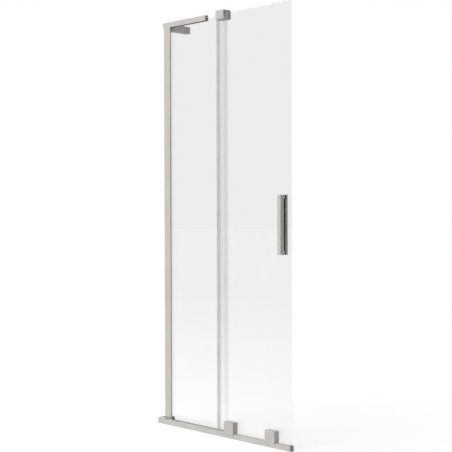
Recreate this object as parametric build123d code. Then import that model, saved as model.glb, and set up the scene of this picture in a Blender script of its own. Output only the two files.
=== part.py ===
from build123d import *
import os

# A sliding bath screen. One glass pane is fixed in a wall profile, and a second pane hangs on
# two roller blocks that run along a rail on the bath rim, in front of the fixed pane.
# All sizes are in millimetres. X runs along the bath from the wall, Y from the sliding side to
# the back, and Z up from the bath rim. The origin lies on the wall and on the rim, in the
# middle plane of the fixed glass. The screen is drawn pulled out to its full width.

# Overall sizes
screen_height = 1500.0
screen_width = 675.0
glass = 6.0
pane_spacing = 21.0
pane_overlap = 29.0
slip = 0.3
screw_fit = 0.1
edge_round = 0.8

# Fixed pane
glass_top_drop = 10.0
sill_height = 4.0

# Wall channel, screwed to the wall
channel_width = 10.0
channel_depth = 12.0
channel_base = 2.0
channel_wall = 1.4
wall_hole_d = 5.0
wall_hole_count = 4
wall_hole_inset = 80.25

# Glass profile, which slides over the channel to take up an uneven wall
profile_start = 4.5
profile_width = 34.5
profile_front_wall = 1.8
profile_front_stand = 6.5
profile_rear_wall = 1.4
profile_web = 1.6
profile_web_offset = 8.5
profile_lip = 1.6
profile_lip_gap = 1.0
rear_flange_width = 19.5
rear_lip = 1.2
rear_lip_depth = 0.9
rib_width = 1.5
glass_play = 0.4
front_gasket_width = 10.3
rear_gasket_width = 5.6

# Screws that hold the profile on the channel, with slots for them in the channel
adjust_count = 3
adjust_inset = 120.25
adjust_offset = 4.0
adjust_shank_d = 3.5
adjust_shank = 5.0
adjust_head_d = 6.0
adjust_head = 2.2
adjust_slot = 6.0
strip_wall = 0.9

# Top bar over the fixed pane
bar_length = 232.0
bar_height = 19.5
bar_wall = 1.8
bar_web = 1.6
bar_gasket_top = 1.8
bar_gasket_inset = 1.0
bar_cap = 2.0
bar_plug = 10.0

# Arm along the wall, behind the top bar
arm_width = 24.0
arm_height = 25.5
arm_drop = 3.0
arm_length = 70.3
arm_cap_length = 30.0
arm_wall = 2.5
arm_cap_wall = 2.0
arm_rib_count = 5
arm_rib_pitch = 4.6
arm_rib_width = 1.6
arm_rib_depth = 0.7
bracket_base = 3.0
bracket_flange = 2.5
bracket_depth = 16.0
bracket_start = 8.0
bracket_length = 84.0
bracket_hole_d = 5.5
bracket_hole_inset = 12.0
bracket_hole_pitch = 60.0
grub_d = 4.0
grub_offset = 35.0
grub_sink = 0.3
socket_share = 0.5
socket_depth = 1.6

# Rail on the bath rim
rail_depth = 18.5
rail_height = 18.0
rail_gap = 2.5
rail_wall = 1.6
rail_chamfer = 3.0
track_width = 7.0
track_depth = 4.0
track_floor = 1.6
bond_thickness = 1.0
bond_inset = 1.8

# End pieces of the rail
end_height = 21.0
end_block_width = 37.0
end_round = 1.6
end_cap_width = 8.0
end_cap_chamfer = 5.5
spigot_length = 12.0

# Pocket in the end block, which takes the sliding pane's edge when the screen is pushed in
pocket_wall = 5.5
pocket_floor = 3.0
pocket_play = 1.8
pocket_reserve = 20.0

# Stops in the track
stop_length = 8.0
buffer_length = 2.0
stop_drop = 0.4
stop_play = 0.4

# Sliding pane
pane_end_gap = 12.5
slide_width = 355.5
slide_bottom = 8.0
seal_base = 2.0
seal_leg = 1.2
seal_reach = 11.0
seal_bottom = 10.0
drip_leg = 1.0
drip_reach = 6.0
drip_base = 1.4
drip_fin = 1.6

# Fixed pane seals
sill_seal_wall = 2.0
sill_seal_height = 10.0
edge_clip = 1.2
edge_clip_reach = 10.0
edge_fin = 1.2
edge_fin_lean = 2.0
edge_fin_bottom = 64.0

# Roller blocks
block_inset = 79.0
block_width = 46.0
block_top = 57.0
block_lip = 6.5
cover_wall = 2.1
cover_side = 2.0
cover_top = 2.5
lip_gap = 0.4
carriage_lift = 0.6
gasket = 1.0
wheel_r = 10.0
wheel_width = 5.0
wheel_ride = 0.3
pocket_side = 1.5
pocket_cheek = 2.0
bush_r = 4.5
axle_r = 2.5
axle_fit = 0.05
axle_seat = 4.0

# Screws through the sliding pane
pane_screw_d = 5.0
pane_screw_reach = 13.0
block_screw_height = 46.0
glass_hole_d = 9.0
block_head_d = 11.0
block_head = 2.4
flange_d = 13.0
flange = 1.0
block_cap_wall = 1.4
handle_head_d = 9.0
handle_head = 2.4

# Handle, with a grip in front of the pane and a flatter pull behind it
handle_center = 748.0
handle_length = 200.0
handle_width = 16.0
handle_depth = 21.0
handle_inset = 28.2
handle_grip = 16.0
handle_web = 7.0
handle_end = 13.0
handle_pad = 0.8
handle_round = 1.2
pull_depth = 8.5
pull_grip = 5.5

# Guide at the top of the fixed pane, which the sliding pane runs through
guide_width = 41.0
guide_height = 32.0
guide_rise = 2.0
guide_leg = 4.0
guide_play = 0.5
liner = 1.5
clamp_pad = 0.8
guide_rear_leg = 3.0
guide_round = 1.5
guide_screw_drop = 23.0

# Planes and levels that follow from the sizes above
slide_right = screen_width - pane_end_gap
slide_left = slide_right - slide_width
fixed_right = slide_left + pane_overlap
fixed_front = -glass / 2
fixed_rear = glass / 2
slide_front = -pane_spacing - glass / 2
slide_rear = -pane_spacing + glass / 2
glass_top = screen_height - glass_top_drop
bar_bottom = screen_height - bar_height
bar_seat = glass_top + bar_gasket_top
profile_front = fixed_front - profile_front_stand
profile_rear = channel_width / 2 + slip + profile_rear_wall
profile_inner_front = profile_front + profile_front_wall
profile_inner_rear = profile_rear - profile_rear_wall
profile_end = profile_start + profile_width
web_left = profile_start + profile_web_offset
web_right = web_left + profile_web
rear_end = profile_start + rear_flange_width
fixed_left = web_right + glass_play
adjust_x = profile_start + adjust_offset
strip_room = profile_rear + adjust_head + screw_fit
strip_rear = strip_room + strip_wall
bar_inner = (profile_front + bar_wall, profile_rear - bar_wall)
arm_top = screen_height - arm_drop
arm_bottom = arm_top - arm_height
arm_middle = (arm_top + arm_bottom) / 2
arm_start = profile_rear
arm_end = arm_start + arm_length
grub_x = bracket_depth / 2
grub_y = arm_start + grub_offset
bracket_y = (arm_start + bracket_start, arm_start + bracket_start + bracket_length)
bracket_z = (arm_bottom + arm_wall + slip, arm_top - arm_wall - slip)
rail_rear = slide_front - rail_gap
rail_front = rail_rear - rail_depth
rail_mid = (rail_front + rail_rear) / 2
track_bottom = rail_height - track_depth
chamber_top = track_bottom - track_floor
chamber_bottom = bond_thickness + rail_wall
end_block_right = profile_start + end_block_width
end_cap_left = screen_width - end_cap_width
seal_left = slide_left - seal_base
pocket_left = profile_start + pocket_wall
travel = seal_left - pocket_left - pocket_reserve
cover_front = rail_front - lip_gap - cover_wall
cover_rear = slide_front - gasket
carriage_front = cover_front + cover_wall + slip
carriage_bottom = rail_height + carriage_lift
wheel_z = track_bottom + wheel_ride + wheel_r
wheel_cheeks = (rail_mid - wheel_width / 2 - pocket_cheek, rail_mid + wheel_width / 2 + pocket_cheek)
block_centers = {"left": slide_left + block_inset, "right": slide_right - block_inset}
handle_x = slide_right - handle_inset - handle_width / 2
handle_front = slide_front - handle_depth
handle_foot = slide_front - handle_pad
pull_foot = slide_rear + handle_pad
pull_rear = slide_rear + pull_depth
pull_seat = pull_rear - handle_head - screw_fit
handle_low = (handle_center - handle_length / 2, handle_center - handle_length / 2 + handle_end)
handle_high = (handle_center + handle_length / 2 - handle_end, handle_center + handle_length / 2)
handle_span = (handle_low[1], handle_high[0])
guide_left = slide_left
guide_right = guide_left + guide_width
guide_top = screen_height + guide_rise
guide_bottom = guide_top - guide_height
guide_slot = (slide_front - guide_play - liner, slide_rear + guide_play + liner)
guide_slot_top = glass_top + guide_play + liner
guide_front = guide_slot[0] - guide_leg
guide_grip = (fixed_front - clamp_pad, fixed_rear + clamp_pad)
guide_rear = guide_grip[1] + guide_rear_leg
guide_screw_z = guide_top - guide_screw_drop


def middle(limits):
    """The place halfway between a pair of limits."""
    return (limits[0] + limits[1]) / 2


def around(center, width):
    """A pair of limits with the same reach on both sides of a place."""
    return (center - width / 2, center + width / 2)


def spread(first, last, count):
    """Evenly spaced places, from the first to the last."""
    step = (last - first) / (count - 1)
    return [first + i * step for i in range(count)]


def strip(across, up):
    """A rectangle between two pairs of limits, for a section."""
    return Pos(middle(across), middle(up)) * Rectangle(across[1] - across[0], up[1] - up[0])


def outline(*points):
    """A section with straight sides between the given corners."""
    return make_face(Polyline(*points, close=True))


def along_x(section, x):
    """A section in Y and Z, drawn out along X."""
    return Pos(x[0], 0, 0) * extrude(Plane.YZ * section, x[1] - x[0])


def along_z(section, z):
    """A section in X and Y, drawn out upwards."""
    return Pos(0, 0, z[0]) * extrude(section, z[1] - z[0])


def block(x, y, z):
    """A box between three pairs of limits."""
    return along_z(strip(x, y), z)


def rod_x(x, y, z, radius):
    """A round rod along X, at y and z."""
    return Pos(middle(x), y, z) * Rot(0, 90, 0) * Cylinder(radius, x[1] - x[0])


def rod_y(x, y, z, radius):
    """A round rod along Y, at x and z."""
    return Pos(x, middle(y), z) * Rot(90, 0, 0) * Cylinder(radius, y[1] - y[0])


def rod_z(x, y, z, radius):
    """An upright round rod."""
    return Pos(x, y, middle(z)) * Cylinder(radius, z[1] - z[0])


def headed_screw(x, y, z, radius, head_y, head_radius):
    """A screw along Y with a flat head."""
    return rod_y(x, y, z, radius) + rod_y(x, head_y, z, head_radius)


def socket(radius):
    """A six-sided socket for the end of a screw."""
    return extrude(RegularPolygon(radius * socket_share, 6), socket_depth)


def socket_from_behind(x, y, z, radius):
    """The same socket, cut from the back."""
    return Pos(x, y, z) * Rot(90, 0, 0) * socket(radius)


def edges_along(part, axis, towards, count):
    """The edges of a part that run along one axis, the furthest ones in a given direction."""
    return part.edges().filter_by(axis).sort_by(towards)[-count:]


forward = Axis((0, 0, 0), (0, -1, 0))


# Fixed side: wall channel, glass profile and the pane


def adjust_heights():
    return spread(adjust_inset, bar_bottom - adjust_inset, adjust_count)


def wall_channel():
    """A U-shaped channel on the wall, with screw holes in its base."""
    half = channel_width / 2
    section = strip((0, channel_depth), (-half, half))
    section -= strip((channel_base, channel_depth), (channel_wall - half, half - channel_wall))
    part = along_z(section, (0, bar_bottom))
    for height in spread(wall_hole_inset, bar_bottom - wall_hole_inset, wall_hole_count):
        part -= rod_x((0, channel_base), 0, height, wall_hole_d / 2)
    for height in adjust_heights():
        slot = around(height, adjust_shank_d + 2 * screw_fit)
        part -= block(around(adjust_x, adjust_slot), (half - channel_wall, half), slot)
    return part


def glass_profile():
    """The profile that holds the fixed pane: wide at the front, with a short rear flange."""
    rib_y = (profile_front, -channel_width / 2 - slip)
    lip_y = (profile_front, fixed_front - profile_lip_gap)
    section = strip((profile_start, profile_end), (profile_front, profile_inner_front))
    section += strip((profile_end - profile_lip, profile_end), lip_y)
    section += strip((web_left, web_right), (profile_front, profile_rear))
    section += strip((profile_start, rear_end), (profile_inner_rear, profile_rear))
    section += strip((rear_end - rear_lip, rear_end), (profile_inner_rear - rear_lip_depth, profile_rear))
    for x in (profile_start + rib_width, web_left - 2 * rib_width):
        section += strip((x, x + rib_width), rib_y)
    part = along_z(section, (end_height, bar_bottom))
    part = fillet(edges_along(part, Axis.Z, forward, 2), edge_round)
    for height in adjust_heights():
        wall = (profile_inner_rear, profile_rear)
        part -= rod_y(adjust_x, wall, height, adjust_shank_d / 2 + screw_fit)
    return part


def fixed_glass():
    """The fixed pane, with its free upright edges ground at an angle."""
    part = block((fixed_left, fixed_right), (fixed_front, fixed_rear), (sill_height, glass_top))
    return chamfer(edges_along(part, Axis.Z, Axis.X, 2), edge_round)


def front_gasket():
    """A rubber strip between the wide front wall of the profile and the pane."""
    right = profile_end - profile_lip
    left = right - front_gasket_width
    depth = fixed_front - profile_inner_front
    section = outline(
        (left, fixed_front),
        (left + depth / 2, profile_inner_front),
        (right, profile_inner_front),
        (right, fixed_front),
    )
    return along_z(section, (end_height, bar_bottom))


def rear_gasket():
    """A wedge of rubber pressed in behind the pane."""
    right = rear_end - rear_lip
    left = right - rear_gasket_width
    depth = profile_inner_rear - fixed_rear
    section = outline(
        (left, fixed_rear),
        (right, fixed_rear),
        (right, profile_inner_rear),
        (left + depth / 2, profile_inner_rear),
    )
    return along_z(section, (end_height, bar_bottom))


def adjust_screws():
    """Screws through the profile's rear wall and the slots of the channel."""
    shank = (profile_rear - adjust_shank, profile_rear)
    head = (profile_rear, profile_rear + adjust_head)
    parts = []
    for height in adjust_heights():
        parts.append(headed_screw(adjust_x, shank, height, adjust_shank_d / 2, head, adjust_head_d / 2))
    return parts


def screw_cover_strip():
    """A strip over the heads of those screws, along the back of the profile up to the arm."""
    outer = strip(around(adjust_x, 2 * adjust_offset), (profile_rear, strip_rear))
    room = strip(around(adjust_x, 2 * (adjust_offset - strip_wall)), (profile_rear, strip_room))
    part = along_z(outer - room, (end_height, arm_bottom))
    return chamfer(edges_along(part, Axis.Z, Axis.Y, 2), strip_wall / 2)


def sill_seal():
    """A U-shaped seal under the fixed pane, from the end block to the pane's free corner."""
    section = strip(around(0, glass + 2 * sill_seal_wall), (0, sill_seal_height))
    section -= strip((fixed_front, fixed_rear), (sill_height, sill_seal_height))
    return along_x(section, (end_block_right, fixed_right))


def fixed_edge_seal():
    """A clear clip on the pane's free edge, with a fin that closes the gap between the panes."""
    right = fixed_right + edge_clip
    left = right - edge_clip_reach
    top = guide_bottom - slip
    clip_front = fixed_front - edge_clip
    clip = strip((left, right), (clip_front, fixed_rear + edge_clip))
    clip -= strip((left, fixed_right), (fixed_front, fixed_rear))
    fin_tip = slide_rear + seal_leg + slip
    fin = outline(
        (right - edge_fin, clip_front),
        (right - edge_fin - edge_fin_lean, fin_tip),
        (right - edge_fin_lean, fin_tip),
        (right, clip_front),
    )
    return along_z(clip, (sill_seal_height, top)) + along_z(fin, (edge_fin_bottom, top))


# Top bar and the arm along the wall


def bar_block(x):
    """A length of the top bar's outer form, with its upper edges rounded."""
    part = block(x, (profile_front, profile_rear), (bar_bottom, screen_height))
    return fillet(edges_along(part, Axis.X, Axis.Z, 2), edge_round)


def top_bar():
    """A hollow bar that caps the fixed pane and ties it to the wall."""
    x = (0, bar_length - bar_cap)
    slot = block(x, bar_inner, (bar_bottom, bar_seat))
    chamber = block(x, bar_inner, (bar_seat + bar_web, screen_height - bar_wall))
    return bar_block(x) - slot - chamber


def top_bar_gasket():
    """A U-shaped rubber strip between the bar and the pane's top edge."""
    section = strip(bar_inner, (bar_bottom + bar_gasket_inset, bar_seat))
    section -= strip((fixed_front, fixed_rear), (bar_bottom, glass_top))
    return along_x(section, (fixed_left, bar_length - bar_cap))


def top_bar_end_cap():
    """The cap that closes the free end of the bar, with a plug in its upper chamber."""
    x = (bar_length - bar_cap, bar_length)
    pane = (fixed_front - slip, fixed_rear + slip)
    cap = bar_block(x) - block(x, pane, (bar_bottom, glass_top + slip))
    plug_y = (bar_inner[0] + slip, bar_inner[1] - slip)
    plug_z = (bar_seat + bar_web + slip, screen_height - bar_wall - slip)
    return cap + block((x[0] - bar_plug, x[0]), plug_y, plug_z)


def arm_section(y, wall):
    """A length of the arm's outer form along Y, and the block that hollows it from the wall."""
    part = block((0, arm_width), y, (arm_bottom, arm_top))
    part = chamfer(edges_along(part, Axis.Y, Axis.X, 2), edge_round)
    return part, block((0, arm_width - wall), y, (arm_bottom + wall, arm_top - wall))


def wall_arm():
    """The arm that runs back along the wall and steadies the top of the screen."""
    part, hollow = arm_section((arm_start, arm_end), arm_wall)
    part -= hollow
    return part - rod_z(grub_x, grub_y, (arm_bottom, arm_bottom + arm_wall), grub_d / 2 + screw_fit)


def arm_bracket():
    """The bracket inside the arm: a plate on the wall with two screw holes and two flanges."""
    part = block((0, bracket_depth), bracket_y, bracket_z)
    between = (bracket_z[0] + bracket_flange, bracket_z[1] - bracket_flange)
    part -= block((bracket_base, bracket_depth), bracket_y, between)
    for step in (0, 1):
        y = bracket_y[0] + bracket_hole_inset + step * bracket_hole_pitch
        part -= rod_x((0, bracket_base), y, arm_middle, bracket_hole_d / 2)
    return part


def arm_end_cap():
    """The ribbed cap over the far end of the arm and the end of its bracket."""
    y = (arm_end, arm_end + arm_cap_length)
    part, hollow = arm_section(y, arm_cap_wall)
    part -= Pos(0, -arm_cap_wall, 0) * hollow
    ribs = around(middle(y), arm_rib_pitch * (arm_rib_count - 1))
    for place in spread(*ribs, arm_rib_count):
        groove = around(place, arm_rib_width)
        part -= block((arm_width - arm_rib_depth, arm_width), groove, (arm_bottom, arm_top))
    return part


def arm_grub_screw():
    """A headless screw from below that presses on the bracket and locks the arm."""
    z = (arm_bottom + grub_sink, bracket_z[0])
    return rod_z(grub_x, grub_y, z, grub_d / 2) - Pos(grub_x, grub_y, z[0]) * socket(grub_d / 2)


# Rail on the bath rim and its end pieces


def rail_outline(height, slope):
    """The outer form of the rail in Y and Z, with a sloped corner at the top of the back."""
    return outline(
        (rail_front, 0),
        (rail_rear, 0),
        (rail_rear, height - slope),
        (rail_rear - slope, height),
        (rail_front, height),
    )


def bottom_rail():
    """A hollow extrusion with a track for the wheels in its top and a recess underneath."""
    section = rail_outline(rail_height, rail_chamfer)
    section -= strip(around(rail_mid, track_width), (track_bottom, rail_height))
    section -= strip((rail_front + rail_wall, rail_rear - rail_wall), (chamber_bottom, chamber_top))
    section -= strip((rail_front + bond_inset, rail_rear - bond_inset), (0, bond_thickness))
    part = along_x(section, (end_block_right, end_cap_left))
    front_rim = part.edges().filter_by(Axis.X).group_by(Axis.Y)[0].sort_by(Axis.Z)[-1:]
    return fillet(front_rim, edge_round)


def rail_bond_strip():
    """The strip that bonds the rail to the bath rim."""
    section = strip((rail_front + bond_inset, rail_rear - bond_inset), (0, bond_thickness))
    return along_x(section, (end_block_right, end_cap_left))


def spigot(x):
    """The plug of an end piece, which fits in the hollow of the rail."""
    side = (rail_front + rail_wall + slip, rail_rear - rail_wall - slip)
    return block(x, side, (chamber_bottom + slip, chamber_top - slip))


def rail_end_block():
    """The block at the wall that joins the rail to the foot of the profile."""
    body = block((profile_start, end_block_right), (rail_front, profile_rear), (0, end_height))
    upright = edges_along(body, Axis.Z, forward, 2).sort_by(Axis.X)[:1]
    rim = body.faces().sort_by(Axis.Z)[-1].edges().sort_by(forward)[-1:]
    body = fillet(upright + rim, end_round)
    foot = around(0, channel_width + 2 * slip)
    body -= block((profile_start, channel_depth + slip), foot, (0, end_height))
    pane = (fixed_front - slip, fixed_rear + slip)
    body -= block((channel_depth, end_block_right), pane, (sill_height, end_height))
    pocket = (rail_rear, slide_rear + seal_leg + pocket_play)
    body -= block((pocket_left, end_block_right), pocket, (pocket_floor, end_height))
    return body + spigot((end_block_right, end_block_right + spigot_length))


def rail_end_cap():
    """The cap at the free end of the rail."""
    body = along_x(rail_outline(end_height, end_cap_chamfer), (end_cap_left, screen_width))
    rim = body.faces().sort_by(Axis.X)[-1].edges().sort_by(Axis.Z)[-2:]
    return chamfer(rim, edge_round) + spigot((end_cap_left - spigot_length, end_cap_left))


def stop_faces():
    """Where the rims of the wheels meet the stops, at the height of the stops' top edge."""
    drop = wheel_z - (rail_height - stop_drop)
    reach = (wheel_r ** 2 - drop ** 2) ** 0.5 + stop_play
    return {
        -1: block_centers["left"] - travel - reach,
        1: block_centers["right"] + reach,
    }


def in_track(first, second):
    """A block in the track, between two places along the rail."""
    x = (min(first, second), max(first, second))
    return block(x, around(rail_mid, track_width - 2 * slip), (track_bottom, rail_height - stop_drop))


def rail_stops():
    """The two stops in the track, one for each end of the travel."""
    parts = []
    for side, face in stop_faces().items():
        start = face + side * buffer_length
        parts.append(in_track(start, start + side * stop_length))
    return parts


def stop_buffers():
    """The rubber faces of the stops."""
    return [in_track(face, face + side * buffer_length) for side, face in stop_faces().items()]


# Guide on top of the fixed pane


def guide_body():
    """A metal block whose rear slot grips the fixed pane and whose front slot guides the other."""
    x = (guide_left, guide_right)
    part = block(x, (guide_front, guide_rear), (guide_bottom, guide_top))
    upright = edges_along(part, Axis.Z, forward, 2)
    rims = part.faces().sort_by(forward)[-1].edges().filter_by(Axis.X)
    part = fillet(upright + rims, guide_round)
    part -= block(x, guide_slot, (guide_bottom, guide_slot_top))
    part -= block(x, guide_grip, (guide_bottom, glass_top + clamp_pad))
    return part - rod_y(middle(x), (guide_grip[1], guide_rear), guide_screw_z, grub_d / 2 + screw_fit)


def guide_liner():
    """A U-shaped slip liner in the front slot."""
    inner = (guide_slot[0] + liner, guide_slot[1] - liner)
    section = strip(guide_slot, (guide_bottom, guide_slot_top))
    section -= strip(inner, (guide_bottom, guide_slot_top - liner))
    return along_x(section, (guide_left, guide_right))


def guide_clamp_pad():
    """A U-shaped rubber pad between the guide and the fixed pane."""
    section = strip(guide_grip, (guide_bottom, glass_top + clamp_pad))
    section -= strip((fixed_front, fixed_rear), (guide_bottom, glass_top))
    return along_x(section, (guide_left, guide_right))


def guide_grub_screw():
    """A headless screw in the rear leg that clamps the guide to the pane."""
    x = middle((guide_left, guide_right))
    y = (guide_grip[1], guide_rear - grub_sink)
    screw = rod_y(x, y, guide_screw_z, grub_d / 2)
    return screw - socket_from_behind(x, y[1], guide_screw_z, grub_d / 2)


# Sliding pane and its seals


def block_screw_points():
    """The places in X and Z of the screws that hold the roller blocks."""
    return [(center, block_screw_height) for center in block_centers.values()]


def handle_screw_points():
    """The places in X and Z of the screws that hold the handle."""
    return [(handle_x, middle(handle_low)), (handle_x, middle(handle_high))]


def sliding_glass():
    """The sliding pane, with its screw holes."""
    part = block((slide_left, slide_right), (slide_front, slide_rear), (slide_bottom, glass_top))
    part = chamfer(edges_along(part, Axis.Z, Axis.X, 2), edge_round)
    for x, z in block_screw_points() + handle_screw_points():
        part -= rod_y(x, (slide_front, slide_rear), z, glass_hole_d / 2)
    return part


def pane_edge_seal():
    """A grey clip seal on the inner edge of the sliding pane, with its nose cut at an angle."""
    x = (seal_left, slide_left + seal_reach)
    z = (seal_bottom, guide_bottom - slip)
    clip = block(x, (slide_front - seal_leg, slide_rear + seal_leg), z)
    clip = chamfer(clip.edges().filter_by(Axis.Z).sort_by(Axis.X)[:2], seal_leg)
    return clip - block((slide_left, x[1]), (slide_front, slide_rear), z)


def pane_drip_seal():
    """A seal along the bottom of the sliding pane, with a drip fin below it."""
    base = slide_bottom - drip_base
    top = slide_bottom + drip_reach
    section = strip((slide_front - drip_leg, slide_rear + drip_leg), (base, top))
    section -= strip((slide_front, slide_rear), (slide_bottom, top))
    section += outline(
        (slide_front, base),
        (slide_front + drip_leg, base - drip_fin),
        (slide_front + 2 * drip_leg, base),
    )
    return along_x(section, (slide_left + seal_reach + slip, slide_right))


# Roller blocks under the sliding pane


def roller_cover(center):
    """The metal cover of a roller block, with a lip that hangs in front of the rail."""
    x = around(center, block_width)
    part = block(x, (cover_front, cover_rear), (rail_height - block_lip, block_top))
    upright = edges_along(part, Axis.Z, forward, 2)
    rim = part.faces().sort_by(Axis.Z)[-1].edges().sort_by(Axis.Y)[:3]
    part = chamfer(upright + rim, edge_round)
    depth = (cover_front + cover_wall, cover_rear)
    part -= block(around(center, block_width - 2 * cover_side), depth, (0, block_top - cover_top))
    return part - block(x, depth, (0, carriage_bottom))


def roller_carriage(center):
    """The moulded carriage inside the cover, with a pocket for the wheel and a seat for its axle."""
    inside = around(center, block_width - 2 * (cover_side + slip))
    part = block(inside, (carriage_front, cover_rear), (carriage_bottom, block_top - cover_top - slip))
    room = wheel_r + pocket_side
    part -= block(around(center, 2 * room), wheel_cheeks, (carriage_bottom, wheel_z + room))
    part -= rod_y(center, (carriage_front, wheel_cheeks[1] + axle_seat), wheel_z, axle_r + axle_fit)
    reach = (slide_front - pane_screw_reach - slip, cover_rear)
    return part - rod_y(center, reach, block_screw_height, pane_screw_d / 2 + screw_fit)


def roller_gasket(center):
    """A thin pad between the roller block and the glass."""
    x = around(center, block_width - 2 * edge_round)
    part = block(x, (cover_rear, slide_front), (carriage_bottom, block_top - edge_round))
    hole = pane_screw_d / 2 + screw_fit
    return part - rod_y(center, (cover_rear, slide_front), block_screw_height, hole)


def roller_axle(center):
    """The axle pin, which the cover keeps in its seat."""
    return rod_y(center, (carriage_front, wheel_cheeks[1] + axle_seat - slip), wheel_z, axle_r)


def roller_wheel(center):
    """The nylon wheel, with a bore for its bush."""
    tread = rod_y(center, around(rail_mid, wheel_width), wheel_z, wheel_r)
    return tread - rod_y(center, around(rail_mid, wheel_width), wheel_z, bush_r)


def roller_bush(center):
    """The bush that turns on the axle and keeps the wheel in the middle of its pocket."""
    y = (wheel_cheeks[0] + slip, wheel_cheeks[1] - slip)
    return rod_y(center, y, wheel_z, bush_r) - rod_y(center, y, wheel_z, axle_r + axle_fit)


# Screws through the sliding pane


def sleeve(x, z):
    """A sleeve that keeps a screw off the glass."""
    outer = rod_y(x, (slide_front, slide_rear), z, glass_hole_d / 2 - screw_fit)
    return outer - rod_y(x, (slide_front, slide_rear), z, pane_screw_d / 2 + screw_fit)


def block_bushings():
    """Sleeves with a flange on the back of the pane, for the screws of the roller blocks."""
    parts = []
    rim = (slide_rear, slide_rear + flange)
    for x, z in block_screw_points():
        ring = rod_y(x, rim, z, flange_d / 2) - rod_y(x, rim, z, pane_screw_d / 2 + screw_fit)
        parts.append(sleeve(x, z) + ring)
    return parts


def block_screws():
    """Screws from the back of the pane into the roller blocks."""
    seat = slide_rear + flange
    shank = (slide_front - pane_screw_reach, seat)
    head = (seat, seat + block_head)
    parts = []
    for x, z in block_screw_points():
        parts.append(headed_screw(x, shank, z, pane_screw_d / 2, head, block_head_d / 2))
    return parts


def block_screw_caps():
    """Square covers over those screws, on the back of the pane."""
    room_rear = slide_rear + flange + block_head + screw_fit
    room_width = flange_d + 2 * screw_fit
    width = room_width + 2 * block_cap_wall
    parts = []
    for x, z in block_screw_points():
        cap = block(around(x, width), (slide_rear, room_rear + block_cap_wall), around(z, width))
        cap = chamfer(cap.faces().sort_by(Axis.Y)[-1].edges(), edge_round)
        parts.append(cap - block(around(x, room_width), (slide_rear, room_rear), around(z, room_width)))
    return parts


def handle_screws():
    """Screws from the back, through the pull and the pane into the handle's end blocks."""
    shank = (slide_front - pane_screw_reach, pull_seat)
    head = (pull_seat, pull_seat + handle_head)
    parts = []
    for x, z in handle_screw_points():
        screw = headed_screw(x, shank, z, pane_screw_d / 2, head, handle_head_d / 2)
        parts.append(screw - socket_from_behind(x, head[1], z, handle_head_d / 2))
    return parts


# Handle


def handle_profile():
    """The grip in front of the pane, on a web that leaves a groove on each side."""
    grip_rear = handle_front + handle_grip
    grip = block(around(handle_x, handle_width), (handle_front, grip_rear), handle_span)
    grip = fillet(grip.edges().filter_by(Axis.Z), handle_round)
    return grip + block(around(handle_x, handle_web), (grip_rear, handle_foot), handle_span)


def handle_end_block(z):
    """A solid block at one end of the grip, which takes the screw."""
    part = block(around(handle_x, handle_width), (handle_front, handle_foot), z)
    part = fillet(edges_along(part, Axis.Z, forward, 2), handle_round)
    reach = (slide_front - pane_screw_reach - slip, handle_foot)
    return part - rod_y(handle_x, reach, middle(z), pane_screw_d / 2 + screw_fit)


def rear_pull():
    """The flatter pull behind the pane, with a groove on each side and sunk screw heads."""
    z = (handle_low[0], handle_high[1])
    part = block(around(handle_x, handle_width), (pull_foot, pull_rear), z)
    part = chamfer(edges_along(part, Axis.Z, Axis.Y, 2), edge_round)
    groove = block(around(handle_x, handle_width), (pull_foot, pull_rear - pull_grip), handle_span)
    part -= groove - block(around(handle_x, handle_web), (pull_foot, pull_rear - pull_grip), handle_span)
    for x, height in handle_screw_points():
        part -= rod_y(x, (pull_foot, pull_seat), height, pane_screw_d / 2 + screw_fit)
        part -= rod_y(x, (pull_seat, pull_rear), height, handle_head_d / 2 + screw_fit)
    return part


def foot_pad(y):
    """A pad under the web and the end blocks, between the glass and one side of the handle."""
    part = block(around(handle_x, handle_web), y, handle_span)
    for z in (handle_low, handle_high):
        part += block(around(handle_x, handle_width), y, z)
        part -= rod_y(handle_x, y, middle(z), pane_screw_d / 2 + screw_fit)
    return part


def rear_pad():
    """The pad of the rear pull, with the sleeves for its screws moulded on."""
    part = foot_pad((slide_rear, pull_foot))
    for x, z in handle_screw_points():
        part += sleeve(x, z)
    return part


# Every piece by its name, with one file for each

pieces = {
    "wall_channel": wall_channel(),
    "glass_profile": glass_profile(),
    "profile_front_gasket": front_gasket(),
    "profile_rear_gasket": rear_gasket(),
    "adjust_screws": adjust_screws(),
    "screw_cover_strip": screw_cover_strip(),
    "fixed_glass": fixed_glass(),
    "fixed_sill_seal": sill_seal(),
    "fixed_edge_seal": fixed_edge_seal(),
    "top_bar": top_bar(),
    "top_bar_gasket": top_bar_gasket(),
    "top_bar_end_cap": top_bar_end_cap(),
    "wall_arm": wall_arm(),
    "arm_bracket": arm_bracket(),
    "arm_end_cap": arm_end_cap(),
    "arm_grub_screw": arm_grub_screw(),
    "bottom_rail": bottom_rail(),
    "rail_bond_strip": rail_bond_strip(),
    "rail_end_block": rail_end_block(),
    "rail_end_cap": rail_end_cap(),
    "rail_stops": rail_stops(),
    "stop_buffers": stop_buffers(),
    "guide_body": guide_body(),
    "guide_liner": guide_liner(),
    "guide_clamp_pad": guide_clamp_pad(),
    "guide_grub_screw": guide_grub_screw(),
    "sliding_glass": sliding_glass(),
    "pane_edge_seal": pane_edge_seal(),
    "pane_drip_seal": pane_drip_seal(),
    "roller_covers": [roller_cover(center) for center in block_centers.values()],
    "roller_carriages": [roller_carriage(center) for center in block_centers.values()],
    "roller_gaskets": [roller_gasket(center) for center in block_centers.values()],
    "roller_axles": [roller_axle(center) for center in block_centers.values()],
    "block_bushings": block_bushings(),
    "block_screws": block_screws(),
    "block_screw_caps": block_screw_caps(),
    "handle_screws": handle_screws(),
    "handle_profile": handle_profile(),
    "handle_end_blocks": [handle_end_block(handle_low), handle_end_block(handle_high)],
    "handle_pad": foot_pad((handle_foot, slide_front)),
    "rear_pull": rear_pull(),
    "rear_pull_pad": rear_pad(),
}
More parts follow.
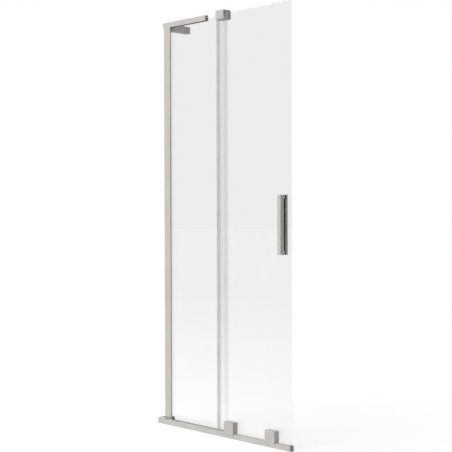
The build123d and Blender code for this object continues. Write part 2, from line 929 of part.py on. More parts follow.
for side, center in block_centers.items():
    pieces["roller_wheel_" + side] = roller_wheel(center)
    pieces["roller_bush_" + side] = roller_bush(center)

os.makedirs("parts", exist_ok=True)
for name, piece in pieces.items():
    shape = Compound(children=piece) if isinstance(piece, list) else piece
    export_step(shape, "parts/" + name + ".step")

print("travel of the sliding pane", round(travel, 2))
print("turn of a wheel in radians per metre of travel", round(1000 / wheel_r, 3))
for side, center in block_centers.items():
    print("centre of the wheel", side, round(center, 2), round(rail_mid, 2), round(wheel_z, 2))
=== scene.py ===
"""A sliding bath screen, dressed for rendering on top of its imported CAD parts."""

import logging
import math
from dataclasses import dataclass
from enum import Enum
from functools import cache
from typing import ClassVar

import bmesh
import bpy
from mathutils import Matrix, Vector


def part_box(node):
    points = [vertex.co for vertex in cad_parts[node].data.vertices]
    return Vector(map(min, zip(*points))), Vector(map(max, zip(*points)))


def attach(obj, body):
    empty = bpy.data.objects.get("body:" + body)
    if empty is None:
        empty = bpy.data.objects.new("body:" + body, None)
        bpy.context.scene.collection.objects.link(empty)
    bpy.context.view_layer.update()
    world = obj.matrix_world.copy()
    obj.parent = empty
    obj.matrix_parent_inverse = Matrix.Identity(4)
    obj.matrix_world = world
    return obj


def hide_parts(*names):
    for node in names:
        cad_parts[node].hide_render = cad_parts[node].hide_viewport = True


log = logging.getLogger("bath_screen")
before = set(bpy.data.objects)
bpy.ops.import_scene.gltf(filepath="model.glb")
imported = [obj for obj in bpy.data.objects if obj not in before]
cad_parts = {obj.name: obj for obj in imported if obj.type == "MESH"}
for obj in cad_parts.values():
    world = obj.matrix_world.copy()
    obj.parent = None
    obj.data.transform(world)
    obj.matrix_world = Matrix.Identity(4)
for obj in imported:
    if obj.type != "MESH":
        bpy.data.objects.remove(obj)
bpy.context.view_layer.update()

Colour = tuple[float, float, float]
Place = tuple[float, float, float]
Span = tuple[float, float]

MM = 0.001
NOISE_SPAN = (0.3, 0.7)


def linear(colour: Colour) -> tuple[float, float, float, float]:
    """Turns a colour as seen on a screen into the linear one that shaders take.

    Args:
        colour: Red, green and blue from 0 to 1, as seen on a screen.

    Returns:
        The linear colour with an alpha of 1.
    """
    channels = [c / 12.92 if c <= 0.04045 else ((c + 0.055) / 1.055) ** 2.4 for c in colour]
    return (*channels, 1.0)


def shade(colour: Colour, factor: float) -> Colour:
    """Returns the colour made darker or lighter by a factor."""
    return tuple(min(1.0, c * factor) for c in colour)


class Along(Enum):
    """The axis that a brushed grain or an extrusion's drawn lines run along."""

    X = 0
    Y = 1
    Z = 2


class Body(Enum):
    """The bodies that the turned screws ride on."""

    STILL = "fixed_screen"
    SLIDING = "sliding_pane"


class NodeSheet:
    """A node tree of a material or the world, with short calls for making and joining nodes."""

    def __init__(self, owner: bpy.types.ID, output: str) -> None:
        """Empties the owner's tree down to its output node.

        Args:
            owner: The material or world.
            output: The type of its output node.
        """
        owner.use_nodes = True
        self.owner = owner
        self.tree = owner.node_tree
        self.tree.nodes.clear()
        self.output = self.tree.nodes.new(output)

    @classmethod
    def of_material(cls, name: str) -> "NodeSheet":
        """Starts the sheet of a new material."""
        return cls(bpy.data.materials.new(name), "ShaderNodeOutputMaterial")

    def add(self, kind: str, **values: object) -> bpy.types.Node:
        """Makes a node and sets its properties.

        Args:
            kind: The node's type.
            **values: Properties of the node by name.

        Returns:
            The new node.
        """
        node = self.tree.nodes.new(kind)
        for key, value in values.items():
            setattr(node, key, value)
        return node

    def join(self, source: bpy.types.NodeSocket, target: bpy.types.NodeSocket) -> None:
        """Joins an output socket to an input socket."""
        self.tree.links.new(source, target)

    def finish(self, shader: bpy.types.Node) -> bpy.types.ID:
        """Joins the shader to the output and returns the material or world."""
        self.join(shader.outputs[0], self.output.inputs["Surface"])
        return self.owner

    def sum(self, operation: str, first: bpy.types.NodeSocket, second: object) -> bpy.types.NodeSocket:
        """Joins two values by a sum.

        Args:
            operation: The Math node's operation.
            first: The first value's socket.
            second: The second value's socket, or a plain number.

        Returns:
            The socket of the result.
        """
        node = self.add("ShaderNodeMath", operation=operation)
        self.join(first, node.inputs[0])
        if isinstance(second, bpy.types.NodeSocket):
            self.join(second, node.inputs[1])
        else:
            node.inputs[1].default_value = second
        return node.outputs[0]

    def stretched_noise(self, scale: Vector, detail: float) -> bpy.types.NodeSocket:
        """Makes noise on the object's own coordinates, stretched by its scale.

        Args:
            scale: Cells per metre along X, Y and Z.
            detail: Octaves of the noise.

        Returns:
            The socket of the noise, which lies mostly within its usual span.
        """
        place = self.add("ShaderNodeTexCoord")
        mapping = self.add("ShaderNodeMapping")
        mapping.inputs["Scale"].default_value = scale
        noise = self.add("ShaderNodeTexNoise")
        noise.inputs["Scale"].default_value = 1.0
        noise.inputs["Detail"].default_value = detail
        self.join(place.outputs["Object"], mapping.inputs["Vector"])
        self.join(mapping.outputs["Vector"], noise.inputs["Vector"])
        return noise.outputs["Fac"]

    def ramp(self, source: bpy.types.NodeSocket, low: float, high: float) -> bpy.types.NodeSocket:
        """Maps noise to a range of plain values.

        Args:
            source: The noise.
            low: The value at the low end of the noise's usual span.
            high: The value at its high end.

        Returns:
            The socket of the value.
        """
        node = self.add("ShaderNodeMapRange")
        for ends, values in (("From", NOISE_SPAN), ("To", (low, high))):
            node.inputs[ends + " Min"].default_value = values[0]
            node.inputs[ends + " Max"].default_value = values[1]
        self.join(source, node.inputs["Value"])
        return node.outputs[0]

    def blend(
        self, source: bpy.types.NodeSocket, first: Colour, second: Colour, span: Span = NOISE_SPAN
    ) -> bpy.types.NodeSocket:
        """Mixes two colours by a value.

        Args:
            source: The value.
            first: The colour at the low end of the span.
            second: The colour at the high end of the span.
            span: The low and the high end.

        Returns:
            The socket of the colour.
        """
        node = self.add("ShaderNodeValToRGB")
        for element, place, colour in zip(node.color_ramp.elements, span, (first, second)):
            element.position = place
            element.color = linear(colour)
        self.join(source, node.inputs["Fac"])
        return node.outputs["Color"]

    def tint(
        self, colour: bpy.types.NodeSocket, source: bpy.types.NodeSocket, low: float, high: float
    ) -> bpy.types.NodeSocket:
        """Makes a colour darker and lighter by noise.

        Args:
            colour: The socket of the colour.
            source: The noise.
            low: The factor at the low end of the noise's usual span.
            high: The factor at its high end.

        Returns:
            The socket of the new colour.
        """
        node = self.add("ShaderNodeVectorMath", operation="SCALE")
        self.join(colour, node.inputs[0])
        self.join(self.ramp(source, low, high), node.inputs["Scale"])
        return node.outputs[0]

    def relief(self, height: bpy.types.NodeSocket, bump: Span) -> bpy.types.NodeSocket:
        """Makes a bump.

        Args:
            height: The socket of the height.
            bump: The bump's strength, and its depth in metres.

        Returns:
            The socket of the normal.
        """
        node = self.add("ShaderNodeBump")
        node.inputs["Strength"].default_value, node.inputs["Distance"].default_value = bump
        self.join(height, node.inputs["Height"])
        return node.outputs["Normal"]

    def seen_as_white(self) -> bpy.types.NodeSocket:
        """Returns a socket that is 1 for the rays of the lens, of glossy metal and through glass."""
        path = self.add("ShaderNodeLightPath")
        seen = path.outputs["Is Camera Ray"]
        for ray in ("Is Glossy Ray", "Is Transmission Ray"):
            seen = self.sum("MAXIMUM", seen, path.outputs[ray])
        return seen


@dataclass(frozen=True)
class BrushedMetal:
    """Anodised or plated metal with a fine grain along one axis.

    Attributes:
        name: The material's name.
        colour: The metal's plain colour.
        along: The axis that the grain runs along.
        roughness: The middle roughness.
        metallic: How much of it reflects as metal.
        grain: Cells of the grain per metre across it.
        drawn: Cells of the grain per metre along it.
        clouds: Cells per metre of the slow change in colour.
        mottle: How much that change varies the colour.
        streak: How much the drawn lines vary the colour.
        spread: How far the roughness goes below and above its middle.
        bump: The grain's strength as a bump, and its depth in metres.
    """

    name: str
    colour: Colour
    along: Along = Along.Z
    roughness: float = 0.42
    metallic: float = 0.08
    grain: float = 1500.0
    drawn: float = 9.0
    clouds: float = 14.0
    mottle: float = 0.015
    streak: float = 0.045
    spread: Span = (0.06, 0.08)
    bump: Span = (0.08, 0.1 * MM)

    def material(self) -> bpy.types.Material:
        """Builds the material."""
        sheet = NodeSheet.of_material(self.name)
        scale = Vector((self.grain,) * 3)
        scale[self.along.value] = self.drawn
        lines = sheet.stretched_noise(scale, 3.0)
        clouds = sheet.stretched_noise(Vector((self.clouds,) * 3), detail=2.0)
        shader = sheet.add("ShaderNodeBsdfPrincipled")
        darker, lighter = (shade(self.colour, 1.0 + part) for part in (-self.mottle, self.mottle))
        plain = sheet.blend(clouds, darker, lighter)
        drawn = sheet.tint(plain, lines, 1.0 - self.streak, 1.0 + self.streak)
        sheet.join(drawn, shader.inputs["Base Color"])
        below, above = self.spread
        rough = sheet.ramp(lines, self.roughness - below, self.roughness + above)
        sheet.join(rough, shader.inputs["Roughness"])
        shader.inputs["Metallic"].default_value = self.metallic
        sheet.join(sheet.relief(lines, self.bump), shader.inputs["Normal"])
        return sheet.finish(shader)


@dataclass(frozen=True)
class Moulded:
    """Rubber, nylon, foam or a soft seal, with a fine moulded skin.

    Attributes:
        name: The material's name.
        colour: The plain colour.
        roughness: The middle roughness.
        thin: How much it lets through as a thin veil does, from 0 to 1.
        skin: Cells of the moulded skin per metre.
        clouds: Cells per metre of the slow change in colour.
        mottle: The factors of the colour where it is darkest and lightest.
        spread: How far the roughness goes either side of its middle.
        bump: The skin's strength as a bump, and its depth in metres.
    """

    name: str
    colour: Colour
    roughness: float = 0.55
    thin: float = 0.0
    skin: float = 1800.0
    clouds: float = 22.0
    mottle: Span = (0.95, 1.04)
    spread: float = 0.08
    bump: Span = (0.08, 0.1 * MM)

    def material(self) -> bpy.types.Material:
        """Builds the material."""
        sheet = NodeSheet.of_material(self.name)
        skin = sheet.stretched_noise(Vector((self.skin,) * 3), detail=4.0)
        clouds = sheet.stretched_noise(Vector((self.clouds,) * 3), detail=2.0)
        shader = sheet.add("ShaderNodeBsdfPrincipled")
        darker, lighter = (shade(self.colour, factor) for factor in self.mottle)
        plain = sheet.blend(clouds, darker, lighter)
        sheet.join(plain, shader.inputs["Base Color"])
        rough = sheet.ramp(skin, self.roughness - self.spread, self.roughness + self.spread)
        sheet.join(rough, shader.inputs["Roughness"])
        shader.inputs["Alpha"].default_value = 1.0 - self.thin
        sheet.join(sheet.relief(skin, self.bump), shader.inputs["Normal"])
        return sheet.finish(shader)


@dataclass(frozen=True)
class ToughenedGlass:
    """Clear toughened glass with polished edges and the faint waves of its rollers.

    The panes are thin against their width, so light goes straight through them, and a coat gives the gloss.
    Their faces carry painted shade, darker towards the head of a pane.

    Attributes:
        name: The material's name.
        foot: The tint of the light that comes through near the foot of a pane, where the painted shade is
            lightest.
        head: The tint near its head, darkened there as painted shade.
        edge: The tint through the upright polished edges.
        crown: The tint through the level ones, which are seen along the whole depth of a pane.
        tall: The height of a pane in metres.
        painted_shade_span: The shares of that height between which the tint turns from foot to head.
        waves: Cells of the rollers' waves per metre along X, Y and Z.
        film: Cells of the faint film on the glass per metre along X, Y and Z.
        ground: Cells of the ground edges per metre.
        edge_grit: How much the grinding varies the tint of an upright edge.
        crown_grit: How much it varies the tint of a level one.
        haze: The film's roughness where it is thickest.
        straight: The index of refraction that lets light go straight through.
        gloss: The coat's index of refraction.
        bump: The waves' strength as a bump, and their depth in metres.
        square: The square of a normal's part along an axis, over which a face looks that way.
    """

    name: str
    foot: Colour
    head: Colour
    edge: Colour
    crown: Colour
    tall: float
    painted_shade_span: Span = (0.03, 0.34)
    waves: Place = (5.0, 5.0, 1.5)
    film: Place = (40.0, 40.0, 12.0)
    ground: float = 2200.0
    edge_grit: float = 0.03
    crown_grit: float = 0.05
    haze: float = 0.02
    straight: float = 1.02
    gloss: float = 1.5
    bump: Span = (0.2, 0.02 * MM)
    square: float = 0.25

    def through(self, sheet: NodeSheet) -> bpy.types.NodeSocket:
        """Makes the tint of the light that comes through a pane's faces, with painted shade that darkens it
        from the foot towards the head.

        Args:
            sheet: The material's sheet.

        Returns:
            The socket of the colour.
        """
        place = sheet.add("ShaderNodeTexCoord")
        height = sheet.add("ShaderNodeSeparateXYZ")
        sheet.join(place.outputs["Object"], height.inputs[0])
        # Painted shade: the faces' tint darkens from the foot of the pane towards its head.
        share = sheet.sum("DIVIDE", height.outputs["Z"], self.tall)
        return sheet.blend(share, self.foot, self.head, self.painted_shade_span)

    def tinted(self, sheet: NodeSheet) -> bpy.types.NodeSocket:
        """Picks the tint of the edges, the level edges or the faces by where each looks.

        Args:
            sheet: The material's sheet.

        Returns:
            The socket of the colour.
        """
        ground = sheet.stretched_noise(Vector((self.ground,) * 3), detail=2.0)
        surface = sheet.add("ShaderNodeNewGeometry")
        facing = sheet.add("ShaderNodeSeparateXYZ")
        sheet.join(surface.outputs["True Normal"], facing.inputs[0])
        upright, level = (
            sheet.blend(ground, shade(tint, 1.0 - grit), shade(tint, 1.0 + grit))
            for tint, grit in ((self.edge, self.edge_grit), (self.crown, self.crown_grit))
        )
        colour = upright
        for axis, other in (("Z", level), ("Y", self.through(sheet))):
            depth = sheet.sum("MULTIPLY", facing.outputs[axis], facing.outputs[axis])
            part = sheet.add("ShaderNodeMix", data_type="RGBA")
            sheet.join(sheet.sum("GREATER_THAN", depth, self.square), part.inputs["Factor"])
            sheet.join(colour, part.inputs["A"])
            sheet.join(other, part.inputs["B"])
            colour = part.outputs["Result"]
        return colour

    def material(self) -> bpy.types.Material:
        """Builds the material."""
        sheet = NodeSheet.of_material(self.name)
        waves = sheet.stretched_noise(Vector(self.waves), detail=1.0)
        film = sheet.stretched_noise(Vector(self.film), detail=3.0)
        shader = sheet.add("ShaderNodeBsdfPrincipled")
        sheet.join(self.tinted(sheet), shader.inputs["Base Color"])
        shader.inputs["IOR"].default_value = self.straight
        shader.inputs["Transmission Weight"].default_value = 1.0
        shader.inputs["Coat Weight"].default_value = 1.0
        shader.inputs["Coat IOR"].default_value = self.gloss
        sheet.join(sheet.ramp(film, 0.0, self.haze), shader.inputs["Roughness"])
        sheet.join(sheet.relief(waves, self.bump), shader.inputs["Normal"])
        return sheet.finish(shader)


Finish = BrushedMetal | Moulded | ToughenedGlass

SILVER = (0.80, 0.785, 0.762)
PROFILE_UP = BrushedMetal("profile_upright", SILVER, Along.Z)
PROFILE_ALONG = BrushedMetal("profile_along", SILVER, Along.X)
PROFILE_BACK = BrushedMetal("profile_to_the_back", SILVER, Along.Y)
FITTING = BrushedMetal("fitting_metal", (0.79, 0.775, 0.755), Along.X, roughness=0.46, streak=0.03)
STEEL = BrushedMetal("screw_steel", (0.70, 0.70, 0.70), Along.Y, roughness=0.28, metallic=0.95)
# The glass faces carry painted shade, lighter at the foot of a pane and darker at its head.
GLASS = ToughenedGlass(
    "clear_glass",
    foot=(0.984, 0.986, 0.984),
    head=(0.922, 0.925, 0.921),
    edge=(0.975, 0.982, 0.977),
    crown=(0.42, 0.45, 0.43),
    tall=1.49,
)
GREY_SEAL = Moulded("grey_seal", (0.86, 0.86, 0.85), roughness=0.5, thin=0.76)
# A real grey seal, made darker as painted shade of the rail's track under the panes.
SILL_SEAL_AND_TRACK_SHADE = Moulded("sill_seal", (0.50, 0.50, 0.49), roughness=0.5, thin=0.35)
CLEAR_SEAL = Moulded("clear_seal", (0.97, 0.97, 0.965), roughness=0.2, thin=0.97)
BLACK_RUBBER = Moulded("dark_rubber", (0.22, 0.22, 0.215), roughness=0.7)
GREY_RUBBER = Moulded("grey_rubber", (0.60, 0.60, 0.59), roughness=0.7)
WHITE_NYLON = Moulded("white_nylon", (0.93, 0.93, 0.915), roughness=0.42)
GREY_NYLON = Moulded("grey_nylon", (0.52, 0.52, 0.51), roughness=0.55)
FOAM = Moulded("bond_foam", (0.60, 0.60, 0.59), roughness=0.9, skin=900.0)


@cache
def made(finish: Finish) -> bpy.types.Material:
    """Returns a finish's material, which is built once and shared."""
    return finish.material()


class ScrewRowTree:
    """Geometry Nodes that put a rolled thread on a turned screw and set a row of copies of it.

    Attributes:
        inputs: The tree's named inputs after the screw itself, with their kinds.
        steps: Points in one turn of the thread.
        corners: Points round the thread's ridge.
    """

    steps: ClassVar[int] = 18
    corners: ClassVar[int] = 3
    inputs: ClassVar[tuple[tuple[str, str], ...]] = (
        ("Thread Radius", "NodeSocketFloat"),
        ("Thread Depth", "NodeSocketFloat"),
        ("Thread Start", "NodeSocketVector"),
        ("Thread Length", "NodeSocketFloat"),
        ("Thread Turns", "NodeSocketFloat"),
        ("Count", "NodeSocketInt"),
        ("First", "NodeSocketVector"),
        ("Step", "NodeSocketVector"),
        ("Turn", "NodeSocketVector"),
        ("Material", "NodeSocketMaterial"),
    )

    def __init__(self) -> None:
        """Builds the tree."""
        self.tree = bpy.data.node_groups.new("screw_row", "GeometryNodeTree")
        sockets = self.tree.interface
        sockets.new_socket("Geometry", in_out="OUTPUT", socket_type="NodeSocketGeometry")
        sockets.new_socket("Screw", in_out="INPUT", socket_type="NodeSocketGeometry")
        for name, kind in self.inputs:
            sockets.new_socket(name, in_out="INPUT", socket_type=kind)
        given = self.add("NodeGroupInput").outputs
        thread = self.thread(given)
        screw = self.add("GeometryNodeJoinGeometry")
        self.join(given["Screw"], screw.inputs[0])
        self.join(thread, screw.inputs[0])
        line = self.add("GeometryNodeMeshLine", mode="OFFSET")
        self.join(given["Count"], line.inputs["Count"])
        self.join(given["First"], line.inputs["Start Location"])
        self.join(given["Step"], line.inputs["Offset"])
        row = self.add("GeometryNodeInstanceOnPoints")
        self.join(line.outputs[0], row.inputs["Points"])
        self.join(screw.outputs[0], row.inputs["Instance"])
        self.join(given["Turn"], row.inputs["Rotation"])
        real = self.add("GeometryNodeRealizeInstances")
        self.join(row.outputs[0], real.inputs[0])
        finished = self.add("GeometryNodeSetMaterial")
        self.join(real.outputs[0], finished.inputs["Geometry"])
        self.join(given["Material"], finished.inputs["Material"])
        self.join(finished.outputs[0], self.add("NodeGroupOutput").inputs[0])

    def add(self, kind: str, **values: object) -> bpy.types.Node:
        """Makes a node and sets its properties by name."""
        node = self.tree.nodes.new(kind)
        for key, value in values.items():
            setattr(node, key, value)
        return node

    def join(self, source: bpy.types.NodeSocket, target: bpy.types.NodeSocket) -> None:
        """Joins an output socket to an input socket."""
        self.tree.links.new(source, target)

    def thread(self, given: bpy.types.NodeOutputs) -> bpy.types.NodeSocket:
        """Winds a three-sided ridge round the shank.

        Args:
            given: The named inputs of the tree.

        Returns:
            The socket of the thread's mesh.
        """
        path = self.add("GeometryNodeCurveSpiral")
        path.inputs["Resolution"].default_value = self.steps
        self.join(given["Thread Turns"], path.inputs["Rotations"])
        self.join(given["Thread Radius"], path.inputs["Start Radius"])
        self.join(given["Thread Radius"], path.inputs["End Radius"])
        self.join(given["Thread Length"], path.inputs["Height"])
        ridge = self.add("GeometryNodeCurvePrimitiveCircle", mode="RADIUS")
        ridge.inputs["Resolution"].default_value = self.corners
        self.join(given["Thread Depth"], ridge.inputs["Radius"])
        tube = self.add("GeometryNodeCurveToMesh")
        tube.inputs["Fill Caps"].default_value = True
        self.join(path.outputs[0], tube.inputs["Curve"])
        self.join(ridge.outputs[0], tube.inputs["Profile Curve"])
        placed = self.add("GeometryNodeTransform")
        self.join(tube.outputs[0], placed.inputs["Geometry"])
        self.join(given["Thread Start"], placed.inputs["Translation"])
        return placed.outputs[0]

    def apply(self, piece: bpy.types.Object, values: dict[str, object]) -> None:
        """Runs the tree on a piece and leaves the result as its plain mesh.

        Args:
            piece: The object that holds one screw.
            values: The tree's inputs by name.
        """
        modifier = piece.modifiers.new("screw_row", "NODES")
        modifier.node_group = self.tree
        sockets = self.tree.interface.items_tree
        keys = {item.name: item.identifier for item in sockets if item.in_out == "INPUT"}
        for name, value in values.items():
            modifier[keys[name]] = value
        graph = bpy.context.evaluated_depsgraph_get()
        mesh = bpy.data.meshes.new_from_object(piece.evaluated_get(graph))
        piece.modifiers.clear()
        piece.data = mesh


@cache
def screw_row_tree() -> ScrewRowTree:
    """Returns the tree, which is built once."""
    return ScrewRowTree()


@dataclass(frozen=True)
class ScrewSize:
    """A size of socket screw, whatever its length.

    Attributes:
        head_width: The width of the head.
        head_height: Its height.
        shank_width: The width over the thread.
        pitch: The thread's pitch.
    """

    head_width: float
    head_height: float
    shank_width: float
    pitch: float = 0.8 * MM

    @property
    def head_radius(self) -> float:
        """The radius of the head."""
        return self.head_width / 2

    @property
    def depth(self) -> float:
        """The depth of the thread."""
        return 0.5 * self.pitch

    @property
    def root(self) -> float:
        """The radius of the shank under its thread."""
        return self.shank_width / 2 - self.depth


@dataclass(frozen=True)
class SocketScrew:
    """A turned screw with a rounded head, a six-sided socket and a rolled thread, along +Z.

    Attributes:
        size: What its head and thread measure.
        length: The length from the tip to the head.
        sides: Points round each ring.
        point: The tip's radius and height, as shares of the shank's radius.
        rounding: The rounding of the head's rim, as a share of the head's height.
        bevel: How far in and down the middle of that rounding lies, as a share of it.
        key: The socket's width, as a share of the head's.
        mouth: How much the socket widens at its mouth, as a share of its width.
        recess: The socket's depth, as a share of the head's height.
    """

    size: ScrewSize
    length: float
    sides: int = 30
    point: Span = (0.7, 0.4)
    rounding: float = 0.25
    bevel: float = 0.3
    key: float = 0.5
    mouth: float = 0.1
    recess: float = 0.55

    def rings(self) -> list[tuple[float, float, bool]]:
        """Lists the rings from the tip round to the floor of the socket.

        Returns:
            Each ring's radius, its height, and whether it has six sides.
        """
        root, head = self.size.root, self.size.head_radius
        top = self.length + self.size.head_height
        rounding = self.rounding * self.size.head_height
        bevel = self.bevel * rounding
        key = self.key * head
        mouth = self.mouth * key
        point, taper = self.point
        return [
            (point * root, 0.0, False),
            (root, taper * root, False),
            (root, self.length, False),
            (head, self.length, False),
            (head, top - rounding, False),
            (head - bevel, top - bevel, False),
            (head - rounding, top, False),
            (key + mouth, top, True),
            (key, top - mouth, True),
            (key, top - self.recess * self.size.head_height, True),
        ]

    def ring(
        self, mesh: bmesh.types.BMesh, radius: float, height: float, six_sided: bool
    ) -> list[bmesh.types.BMVert]:
        """Makes the points of one ring.

        Args:
            mesh: The mesh that gets them.
            radius: The ring's radius, or half the socket's width across its flats.
            height: The height of the ring.
            six_sided: Whether the ring is the outline of the socket.

        Returns:
            The points in order.
        """
        points = []
        flat = math.tau / 6
        for step in range(self.sides):
            angle = math.tau * step / self.sides
            reach = radius / math.cos(angle % flat - flat / 2) if six_sided else radius
            points.append(mesh.verts.new((reach * math.cos(angle), reach * math.sin(angle), height)))
        return points

    def mesh(self, name: str) -> bpy.types.Mesh:
        """Lathes one screw with its tip at the origin.

        Args:
            name: The mesh's name.

        Returns:
            The closed mesh, without its thread.
        """
        build = bmesh.new()
        rings = [self.ring(build, *values) for values in self.rings()]
        for low, high in zip(rings, rings[1:]):
            for step in range(self.sides):
                after = (step + 1) % self.sides
                build.faces.new((low[step], low[after], high[after], high[step]))
        build.faces.new(tuple(reversed(rings[0])))
        build.faces.new(tuple(rings[-1]))
        bmesh.ops.recalc_face_normals(build, faces=build.faces[:])
        mesh = bpy.data.meshes.new(name)
        build.to_mesh(mesh)
        build.free()
        return mesh

    def row(self, name: str, first: Place, step: Place, count: int) -> bpy.types.Object:
        """Sets a row of threaded screws with their heads towards +Y.

        Args:
            name: The name of the piece.
            first: Where the tip of the first screw lies.
            step: From one screw to the next.
            count: How many there are.

        Returns:
            The piece, with a plain mesh.
        """
        piece = bpy.data.objects.new(name, self.mesh(name))
        bpy.context.scene.collection.objects.link(piece)
        pitch = self.size.pitch
        grip = self.length - 2 * pitch
        screw_row_tree().apply(
            piece,
            {
                "Thread Radius": self.size.root,
                "Thread Depth": self.size.depth,
                "Thread Start": (0.0, 0.0, pitch),
                "Thread Length": grip,
                "Thread Turns": grip / pitch,
                "Count": count,
                "First": first,
                "Step": step,
                "Turn": (-math.pi / 2, 0.0, 0.0),
                "Material": made(STEEL),
            },
        )
        return piece


def screws_like(node: str, body: Body, size: ScrewSize, along: Along, count: int) -> bpy.types.Object:
    """Puts detailed screws where a CAD node has plain ones, as long as they are.

    Args:
        node: The CAD node, which they replace.
        body: The body that they ride on.
        size: What one screw measures.
        along: The axis that the row runs along.
        count: How many screws there are.

    Returns:
        The piece.
    """
    low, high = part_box(node)
    screw = SocketScrew(size, high.y - low.y - size.head_height)
    first = (low.x + size.head_radius, low.y, low.z + size.head_radius)
    step = [0.0, 0.0, 0.0]
    step[along.value] = (high[along.value] - low[along.value] - size.head_width) / (count - 1)
    piece = screw.row(node + "_turned", first, tuple(step), count)
    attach(piece, body.value)
    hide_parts(node)
    log.info("%s: %d screws on %s", piece.name, count, body.value)
    return piece


@dataclass
class SubAssembly:
    """Pieces that are bought, finished and fitted together."""

    finishes: ClassVar[dict[Finish, tuple[str, ...]]] = {}

    def dress(self) -> None:
        """Puts each finish on its CAD nodes."""
        for finish, names in self.finishes.items():
            for name in names:
                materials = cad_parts[name].data.materials
                materials.clear()
                materials.append(made(finish))
                log.info("%s: %s", name, finish.name)

    def build(self) -> None:
        """Makes the pieces that the CAD nodes leave to the scene, of which most have none."""


@dataclass
class WallFrame(SubAssembly):
    """The channel on the wall, the profile that slides on it, and its screws.

    Attributes:
        screws: How many adjusting screws there are.
        screw: What one of them measures.
    """

    finishes = {
        PROFILE_UP: ("wall_channel", "glass_profile", "screw_cover_strip"),
        BLACK_RUBBER: ("profile_front_gasket", "profile_rear_gasket"),
    }
    screws: int = 3
    screw: ScrewSize = ScrewSize(6.0 * MM, 2.2 * MM, 3.5 * MM, 0.7 * MM)

    def build(self) -> None:
        """Turns the adjusting screws."""
        screws_like("adjust_screws", Body.STILL, self.screw, Along.Z, self.screws)


@dataclass
class TopStay(SubAssembly):
    """The bar over the fixed pane and the arm that runs back along the wall."""

    finishes = {
        PROFILE_ALONG: ("top_bar",),
        PROFILE_BACK: ("wall_arm",),
        FITTING: ("top_bar_end_cap", "arm_end_cap"),
        STEEL: ("arm_bracket", "arm_grub_screw"),
        BLACK_RUBBER: ("top_bar_gasket",),
    }


@dataclass
class FixedPane(SubAssembly):
    """The fixed pane with its seals, and the guide clamped to its free corner."""

    finishes = {
        GLASS: ("fixed_glass",),
        # Sill seal darkened as painted shade of the rail's track.
        SILL_SEAL_AND_TRACK_SHADE: ("fixed_sill_seal",),
        CLEAR_SEAL: ("fixed_edge_seal",),
        FITTING: ("guide_body",),
        WHITE_NYLON: ("guide_liner",),
        GREY_RUBBER: ("guide_clamp_pad",),
        STEEL: ("guide_grub_screw",),
    }


@dataclass
class BottomRail(SubAssembly):
    """The rail that the rollers run in, with its ends and stops."""

    finishes = {
        PROFILE_ALONG: ("bottom_rail",),
        FITTING: ("rail_end_block", "rail_end_cap"),
        GREY_NYLON: ("rail_stops",),
        BLACK_RUBBER: ("stop_buffers",),
        FOAM: ("rail_bond_strip",),
    }


@dataclass
class SlidingPane(SubAssembly):
    """The pane that slides, with the seals on its edges."""

    finishes = {
        GLASS: ("sliding_glass",),
        GREY_SEAL: ("pane_edge_seal",),
        # Drip seal darkened as painted shade of the rail's track.
        SILL_SEAL_AND_TRACK_SHADE: ("pane_drip_seal",),
    }


@dataclass
class RollerBlocks(SubAssembly):
    """The two roller blocks under the sliding pane.

    Attributes:
        screws: How many screws hold them.
        screw: What one of them measures.
    """

    finishes = {
        FITTING: ("roller_covers", "block_screw_caps"),
        GREY_NYLON: ("roller_carriages",),
        BLACK_RUBBER: ("roller_gaskets",),
        WHITE_NYLON: ("block_bushings", "roller_wheel_left", "roller_wheel_right"),
        STEEL: ("roller_axles", "roller_bush_left", "roller_bush_right"),
    }
    screws: int = 2
    screw: ScrewSize = ScrewSize(11.0 * MM, 2.4 * MM, 5.0 * MM)

    def build(self) -> None:
        """Turns the screws of the blocks."""
        screws_like("block_screws", Body.SLIDING, self.screw, Along.X, self.screws)


@dataclass
class Handle(SubAssembly):
    """The handle in front of the sliding pane and the pull behind it.

    Attributes:
        screws: How many screws hold them.
        screw: What one of them measures.
    """

    finishes = {
        PROFILE_UP: ("handle_profile", "rear_pull"),
        FITTING: ("handle_end_blocks",),
        GREY_RUBBER: ("handle_pad", "rear_pull_pad"),
    }
    screws: int = 2
    screw: ScrewSize = ScrewSize(9.0 * MM, 2.4 * MM, 5.0 * MM)

    def build(self) -> None:
        """Turns the screws of the handle."""
        screws_like("handle_screws", Body.SLIDING, self.screw, Along.Z, self.screws)


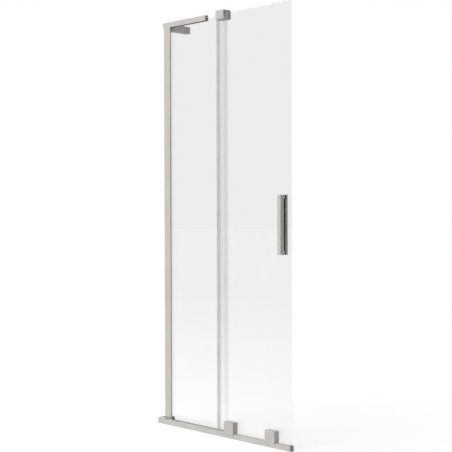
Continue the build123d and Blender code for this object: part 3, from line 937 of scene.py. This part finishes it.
@dataclass
class Studio:
    """The floor, the soft light and the camera.

    Attributes:
        focal: The lens in millimetres.
        sensor: The width of the sensor in millimetres.
        near: The nearest that the camera sees, in metres.
        place: The camera's place in metres.
        yaw: Its turn from +Y towards -X in degrees.
        pitch: How far it looks down in degrees.
        roll: Its turn about its own axis in degrees.
        front: The way to the middle of the front light, and its strength.
        back: The way to the middle of the weaker light from behind, and its strength.
        fill: The light from everywhere else.
        floor_glow: How much of the floor's white isn't touched by shadow.
        floor_paint: The rest of it, where the paint is darkest and lightest.
        floor_clouds: Cells per metre of the paint's slow change.
        floor_half: Half the width of the floor in metres.
    """

    focal: float = 82.807
    sensor: float = 36.0
    near: float = 0.05
    place: Place = (2.98077, -2.56937, 0.79777)
    yaw: float = 45.9155
    pitch: float = 0.88078
    roll: float = -0.14718
    front: tuple[Place, float] = ((-0.50, -0.86, -0.05), 2.78)
    back: tuple[Place, float] = ((-0.50, 0.86, 0.00), 0.6)
    fill: float = 0.02
    floor_glow: float = 0.795
    floor_paint: Span = (0.600, 0.610)
    floor_clouds: float = 0.7
    floor_half: float = 30.0

    def camera(self) -> None:
        """Puts the camera where the photograph was taken from."""
        data = bpy.data.cameras.new("camera")
        data.lens = self.focal
        data.sensor_width = self.sensor
        data.clip_start = self.near
        camera = bpy.data.objects.new("camera", data)
        bpy.context.scene.collection.objects.link(camera)
        yaw, pitch, roll = (math.radians(a) for a in (self.yaw, self.pitch, self.roll))
        ahead = Vector((-math.sin(yaw) * math.cos(pitch), math.cos(yaw) * math.cos(pitch), -math.sin(pitch)))
        level = Vector((math.cos(yaw), math.sin(yaw), 0.0))
        upright = level.cross(ahead)
        right = math.cos(roll) * level + math.sin(roll) * upright
        up = -math.sin(roll) * level + math.cos(roll) * upright
        turned = Matrix((right, up, -ahead)).transposed().to_4x4()
        camera.matrix_world = Matrix.Translation(self.place) @ turned
        bpy.context.scene.camera = camera

    def backdrop_material(self) -> bpy.types.Material:
        """Makes the floor's white, whose steady glow is only seen and whose paint takes the shadow."""
        sheet = NodeSheet.of_material("backdrop")
        clouds = sheet.stretched_noise(Vector((self.floor_clouds,) * 3), detail=1.0)
        darkest, lightest = ((grey,) * 3 for grey in self.floor_paint)
        paint = sheet.add("ShaderNodeBsdfDiffuse")
        sheet.join(sheet.blend(clouds, darkest, lightest), paint.inputs["Color"])
        glow = sheet.add("ShaderNodeEmission")
        sheet.join(sheet.sum("MULTIPLY", sheet.seen_as_white(), self.floor_glow), glow.inputs["Strength"])
        both = sheet.add("ShaderNodeAddShader")
        sheet.join(paint.outputs[0], both.inputs[0])
        sheet.join(glow.outputs[0], both.inputs[1])
        return sheet.finish(both)

    def floor(self) -> None:
        """Lays a wide pale floor under the rail."""
        half = self.floor_half
        corners = [(-half, -half, 0.0), (half, -half, 0.0), (half, half, 0.0), (-half, half, 0.0)]
        mesh = bpy.data.meshes.new("floor")
        mesh.from_pydata(corners, [], [(0, 1, 2, 3)])
        floor = bpy.data.objects.new("floor", mesh)
        bpy.context.scene.collection.objects.link(floor)
        mesh.materials.append(self.backdrop_material())

    def light(self) -> None:
        """Lights the part softly from the front and weakly from behind, before a white backdrop."""
        world = bpy.data.worlds.new("studio")
        bpy.context.scene.world = world
        sheet = NodeSheet(world, "ShaderNodeOutputWorld")
        way = sheet.add("ShaderNodeTexCoord").outputs["Generated"]
        level = None
        for towards, strength in (self.front, self.back):
            lobe = sheet.add("ShaderNodeVectorMath", operation="DOT_PRODUCT")
            sheet.join(way, lobe.inputs[0])
            lobe.inputs[1].default_value = Vector(towards).normalized() * strength
            part = sheet.sum("MAXIMUM", lobe.outputs["Value"], 0.0)
            level = part if level is None else sheet.sum("ADD", level, part)
        lamps = sheet.add("ShaderNodeBackground")
        sheet.join(sheet.sum("ADD", level, self.fill), lamps.inputs["Strength"])
        white = sheet.add("ShaderNodeBackground")
        for node in (lamps, white):
            node.inputs["Color"].default_value = (1.0, 1.0, 1.0, 1.0)
        mix = sheet.add("ShaderNodeMixShader")
        sheet.join(sheet.seen_as_white(), mix.inputs["Fac"])
        sheet.join(lamps.outputs[0], mix.inputs[1])
        sheet.join(white.outputs[0], mix.inputs[2])
        sheet.finish(mix)

    def build(self) -> None:
        """Makes the whole studio."""
        self.light()
        self.floor()
        self.camera()
        bpy.context.scene.view_settings.view_transform = "Standard"
        log.info("studio built")


def main() -> None:
    """Builds the studio and then each sub-assembly in order."""
    logging.basicConfig(level=logging.INFO)
    Studio().build()
    for kind in (WallFrame, TopStay, FixedPane, BottomRail, SlidingPane, RollerBlocks, Handle):
        part = kind()
        part.dress()
        part.build()
        log.info("%s done", kind.__name__)


if __name__ == "__main__":
    main()
